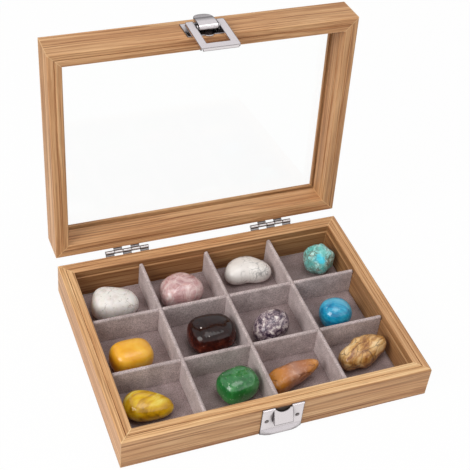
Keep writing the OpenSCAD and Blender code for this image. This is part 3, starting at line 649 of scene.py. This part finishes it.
def warped(s, vector, scale, reach):
    push = s.add("TexNoise", {"Vector": vector, "Scale": scale, "Detail": 3}).outputs["Color"]
    middle = s.add("VectorMath", {0: push, 1: (0.5, 0.5, 0.5)}, operation="SUBTRACT").outputs[0]
    scaled = s.add("VectorMath", {0: middle, "Scale": reach}, operation="SCALE").outputs[0]
    return s.add("VectorMath", {0: vector, 1: scaled}, operation="ADD").outputs[0]


# each painter gives a stone's colour and the height for its bump, if it has one
def magnesite(s, v, look):
    cloud = s.noise(v, *look["cloud"])
    specks = s.between(s.noise(v, *look["speck"]), *look["speckBand"])
    crack = s.cracks(warped(s, v, *look["crackWarp"]), *look["crack"])
    crack = s.math("MULTIPLY", crack, s.between(s.noise(v, *look["patch"]), *look["patchBand"]))
    colour = s.stainAndPaintedLight(s.ramp(cloud, look["tones"]), specks, *look["speckStain"])
    colour = s.stainAndPaintedLight(colour, crack, *look["crackStain"])
    return colour, s.math("SUBTRACT", cloud, s.math("MULTIPLY", crack, look["crackDepth"]))


def roseQuartz(s, v, look):
    cloud = s.noise(v, *look["cloud"])
    crack = s.cracks(warped(s, v, *look["crackWarp"]), *look["crack"])
    return s.stainAndPaintedLight(s.ramp(cloud, look["tones"]), crack, *look["crackStain"]), cloud


def howlite(s, v, look):
    bent = warped(s, v, *look["warp"])
    thin = s.math("MULTIPLY", s.cracks(bent, *look["thin"]), look["thinShare"])
    veins = s.math("MAXIMUM", s.cracks(bent, *look["vein"]), thin)
    veins = s.math("MULTIPLY", veins, s.between(s.noise(v, *look["fade"]), *look["fadeBand"]))
    blotch = s.between(s.noise(bent, *look["blotch"]), *look["blotchBand"])
    colour = s.stainAndPaintedLight(look["ground"], blotch, *look["blotchStain"])
    return s.stainAndPaintedLight(colour, veins, *look["veinStain"]), veins


def turquoise(s, v, look):
    bent = warped(s, v, *look["warp"])
    colour = s.ramp(s.noise(bent, *look["tone"]), look["tones"])
    patch = s.between(s.noise(v, *look["patch"]), *look["patchBand"])
    matrix = s.math("MULTIPLY", s.cracks(bent, *look["matrix"]), patch)
    colour = s.stainAndPaintedLight(colour, matrix, *look["matrixStain"])
    bare = s.add("VectorMath", {0: warped(s, v, *look["bareWarp"]), 1: look["bareAt"]}, operation="DISTANCE")
    colour = s.mix(s.fading(bare.outputs["Value"], *look["bareBand"]), colour, look["bare"])
    rust = s.between(s.noise(v, *look["rust"]), *look["rustBand"])
    return s.stainAndPaintedLight(colour, rust, *look["rustStain"]), s.noise(v, *look["relief"])


def yellowJade(s, v, look):
    colour = s.ramp(s.noise(v, *look["cloud"]), look["tones"])
    return s.stainAndPaintedLight(colour, s.fading(s.axis(v, "Z"), *look["lowBand"]), *look["lowStain"]), None


def garnet(s, v, look):
    cloud = s.noise(v, *look["cloud"])
    top = s.between(s.axis(v, "Z"), *look["topBand"])
    colour = s.mix(top, s.ramp(cloud, look["tones"]), s.ramp(cloud, look["topTones"]))
    patch = s.math("MULTIPLY", top, s.between(s.noise(v, *look["patch"]), *look["patchBand"]))
    # painted glints: white sparkles on the top
    bubble = s.math("MULTIPLY", s.fading(s.voronoi(v, look["bubbleSize"]), *look["bubbleBand"]), patch)
    return s.mix(bubble, colour, look["bubble"]), cloud


def amethyst(s, v, look):
    bent = warped(s, v, *look["warp"])
    crystal = s.noise(bent, *look["crystal"])
    marbled = s.math("MULTIPLY_ADD", crystal, 1.0, look["shift"])
    marbled = s.math("MULTIPLY_ADD", s.wave(bent, *look["swirl"]), look["swirlShare"], marbled)
    # painted shadow: darker purple towards the bottom
    low = s.fading(s.axis(centred(s, "amethyst"), "Z"), *look["lowBand"])
    return s.stainAndPaintedLight(s.ramp(marbled, look["tones"]), low, *look["lowStain"]), crystal


def blueAgate(s, v, look):
    # painted sheen: a paler band along the middle of the stone
    chatoyantSheen = s.fading(s.math("ABSOLUTE", s.axis(v, "Y")), *look["streakBand"])
    colour = s.ramp(s.stretched(v, *look["fibre"]), look["tones"])
    return s.stainAndPaintedLight(colour, chatoyantSheen, *look["streakStain"]), None


def lemonJasper(s, v, look):
    flow = s.stretched(warped(s, v, *look["warp"]), *look["flow"])
    low = s.fading(s.axis(centred(s, "lemon_jasper"), "Z"), *look["lowBand"])
    return s.stainAndPaintedLight(s.ramp(flow, look["tones"]), low, *look["lowStain"]), flow


def greenQuartz(s, v, look):
    cloud = s.noise(warped(s, v, *look["warp"]), *look["cloud"])
    top = s.between(s.axis(v, "Z"), *look["topBand"])
    # painted highlights on the stone
    glint = s.between(s.noise(v, *look["glint"]), *look["glintBand"])
    colour = s.mix(top, look["side"], s.ramp(cloud, look["tones"]))
    return s.stainAndPaintedLight(colour, glint, *look["glintStain"]), None


def jasperShard(s, v, look):
    bent = warped(s, v, *look["warp"])
    colour = s.ramp(s.between(s.axis(bent, "X"), *look["alongBand"]), look["tones"])
    grain = s.noise(v, *look["grain"])
    colour = s.stainAndPaintedLight(colour, s.between(grain, *look["grainBand"]), *look["grainStain"])
    split = s.between(s.stretched(bent, *look["split"]), *look["splitBand"])
    return s.stainAndPaintedLight(colour, split, *look["splitStain"]), s.math("SUBTRACT", grain, split)


def brownJasper(s, v, look):
    bent = warped(s, v, *look["warp"])
    layer = s.stretched(bent, *look["layer"])
    crack = s.cracks(s.mapping(bent, scale=look["crackScales"]), 1, *look["crackBand"])
    colour = s.stainAndPaintedLight(s.ramp(layer, look["tones"]), crack, *look["crackStain"])
    low = s.fading(s.axis(v, "Z"), *look["lowBand"])
    return s.stainAndPaintedLight(colour, low, *look["lowStain"]), s.math("SUBTRACT", layer, crack)


painters = {"magnesite": magnesite, "rose_quartz": roseQuartz, "howlite": howlite, "turquoise": turquoise,
            "yellow_jade": yellowJade, "garnet": garnet, "amethyst": amethyst, "blue_agate": blueAgate,
            "lemon_jasper": lemonJasper, "green_quartz": greenQuartz, "jasper_shard": jasperShard,
            "brown_jasper": brownJasper}


def stoneFinish(kind):
    look, paint = stones[kind], painters[kind]
    s = Shade(paint.__name__ + "Finish")
    colour, height = paint(s, centred(s, kind, look.get("turn", (0, 0, 0))), look)
    relief = {} if height is None else {"normal": s.bump(height, *look["bump"])}
    s.surface(colour=colour, **look["gloss"], **relief)
    return s.made


skinTree = stoneSkinTree()
for number, kind in enumerate(stones):
    skinStone(kind, skinTree, stoneFinish(kind), number * skin["seedStep"])
print("stones done")


# floor, light and camera
studio = {
    "floor": 0.88, "floorGrain": (40, 2), "floorFleck": 0.97, "floorGlow": 0.97, "floorSize": 6,
    "floorDrop": 0.2 * mm, "dimBand": (0.1, 0.35), "dim": 0.75,
    "world": 0.4, "worldTint": (1.0, 0.965, 0.93, 1), "skyTilt": -0.45, "skyRise": 0.4,
    "skyGreys": ((0.0, 0.1), (0.45, 0.92)), "skyBlue": 1.02, "aim": (0, 0.03, 0.05),
}


def floorMaterial():
    s = Shade("paleFloor")
    greys = [(grey, grey, grey, 1) for grey in (studio["floor"], studio["floor"] * studio["floorFleck"])]
    matt = s.add("BsdfDiffuse", {"Color": s.mix(s.noise(s.object, *studio["floorGrain"]), *greys)})
    rays = s.add("LightPath").outputs
    back = s.between(s.axis(s.object, "Y"), *studio["dimBand"])
    dimmed = s.math("MULTIPLY", rays["Is Glossy Ray"], s.math("MULTIPLY", back, studio["dim"]))
    glow = s.add("Emission", {"Color": (1, 1, 1, 1), "Strength": s.math("SUBTRACT", 1, dimmed)})
    seen = s.math("MAXIMUM", rays["Is Glossy Ray"], rays["Is Transmission Ray"])
    seen = s.math("MAXIMUM", rays["Is Camera Ray"], seen)
    s.show(s.blend(s.math("MULTIPLY", seen, studio["floorGlow"]), matt.outputs[0], glow.outputs[0]))
    return s.made


floorMesh = bmesh.new()
bmesh.ops.create_grid(floorMesh, x_segments=2, y_segments=2, size=studio["floorSize"])
floorData = bpy.data.meshes.new("floor")
floorMesh.to_mesh(floorData)
floorMesh.free()
floorData.transform(Matrix.Translation((0, 0, -studio["floorDrop"])))
floor = bpy.data.objects.new("floor", floorData)
scene.collection.objects.link(floor)
floorData.materials.append(floorMaterial())


# soft grey light; seen directly it is white, and mirrored in metal it darkens towards the horizon
def studioWorld():
    s = Shade("studioWorld", world=True)
    rays = s.add("LightPath").outputs
    at = s.add("SeparateXYZ", {"Vector": s.coords.outputs["Generated"]}).outputs
    frontwards = s.math("MULTIPLY_ADD", at["Y"], studio["skyTilt"], s.math("ADD", at["Z"], studio["skyRise"]))
    sky = s.ramp(frontwards, [(place, (grey, grey, grey * studio["skyBlue"], 1))
                              for place, grey in studio["skyGreys"]])
    soft = s.add("Background", {"Color": studio["worldTint"], "Strength": studio["world"]})
    white = s.add("Background", {"Color": (1, 1, 1, 1), "Strength": 1.0})
    mirrored = s.add("Background", {"Color": sky, "Strength": 1.0})
    direct = s.math("MAXIMUM", rays["Is Camera Ray"], rays["Is Transmission Ray"])
    indirect = s.blend(rays["Is Glossy Ray"], soft.outputs[0], mirrored.outputs[0])
    s.show(s.blend(direct, indirect, white.outputs[0]))
    return s.made


scene.world = studioWorld()


def lamp(name, place, size, power, tint=(1, 1, 1)):
    data = bpy.data.lights.new(name, "AREA")
    data.shape = "SQUARE"
    data.size = size
    data.energy = power
    data.color = tint
    holder = bpy.data.objects.new(name, data)
    scene.collection.objects.link(holder)
    holder.location = place
    holder.rotation_mode = "QUATERNION"
    holder.rotation_quaternion = (Vector(studio["aim"]) - Vector(place)).to_track_quat("-Z", "Y")


lamp("keyLamp", (-1.15, -0.35, 0.9), size=0.85, power=12.5, tint=(1, 0.985, 0.96))
lamp("fillLamp", (0.9, -1.2, 0.9), size=0.9, power=1.2)
lamp("topLamp", (0.1, -0.1, 1.5), size=0.9, power=6.2)

# the photo's camera, from a fit to the corners of the case; focal and frame are in pixels
view = {"at": (-0.2156, -0.4448, 0.5340), "forward": (0.3128, 0.6767, -0.6665), "roll": 6.719,
        "focal": 1109.728, "frame": 470, "sensor": 36, "clip": (0.01, 20)}
cameraData = bpy.data.cameras.new("camera")
cameraData.sensor_width = view["sensor"]
cameraData.lens = view["focal"] / view["frame"] * view["sensor"]
cameraData.clip_start, cameraData.clip_end = view["clip"]
camera = bpy.data.objects.new("camera", cameraData)
scene.collection.objects.link(camera)
forward = Vector(view["forward"]).normalized()
right = forward.cross(Vector((0, 0, 1))).normalized()
up = right.cross(forward)
turn = math.radians(view["roll"])
side = right * math.cos(turn) + up * math.sin(turn)
above = up * math.cos(turn) - right * math.sin(turn)
camera.matrix_world = Matrix.Translation(view["at"]) @ Matrix((side, above, -forward)).transposed().to_4x4()
scene.camera = camera
scene.view_settings.view_transform = "Standard"
print("studio done")
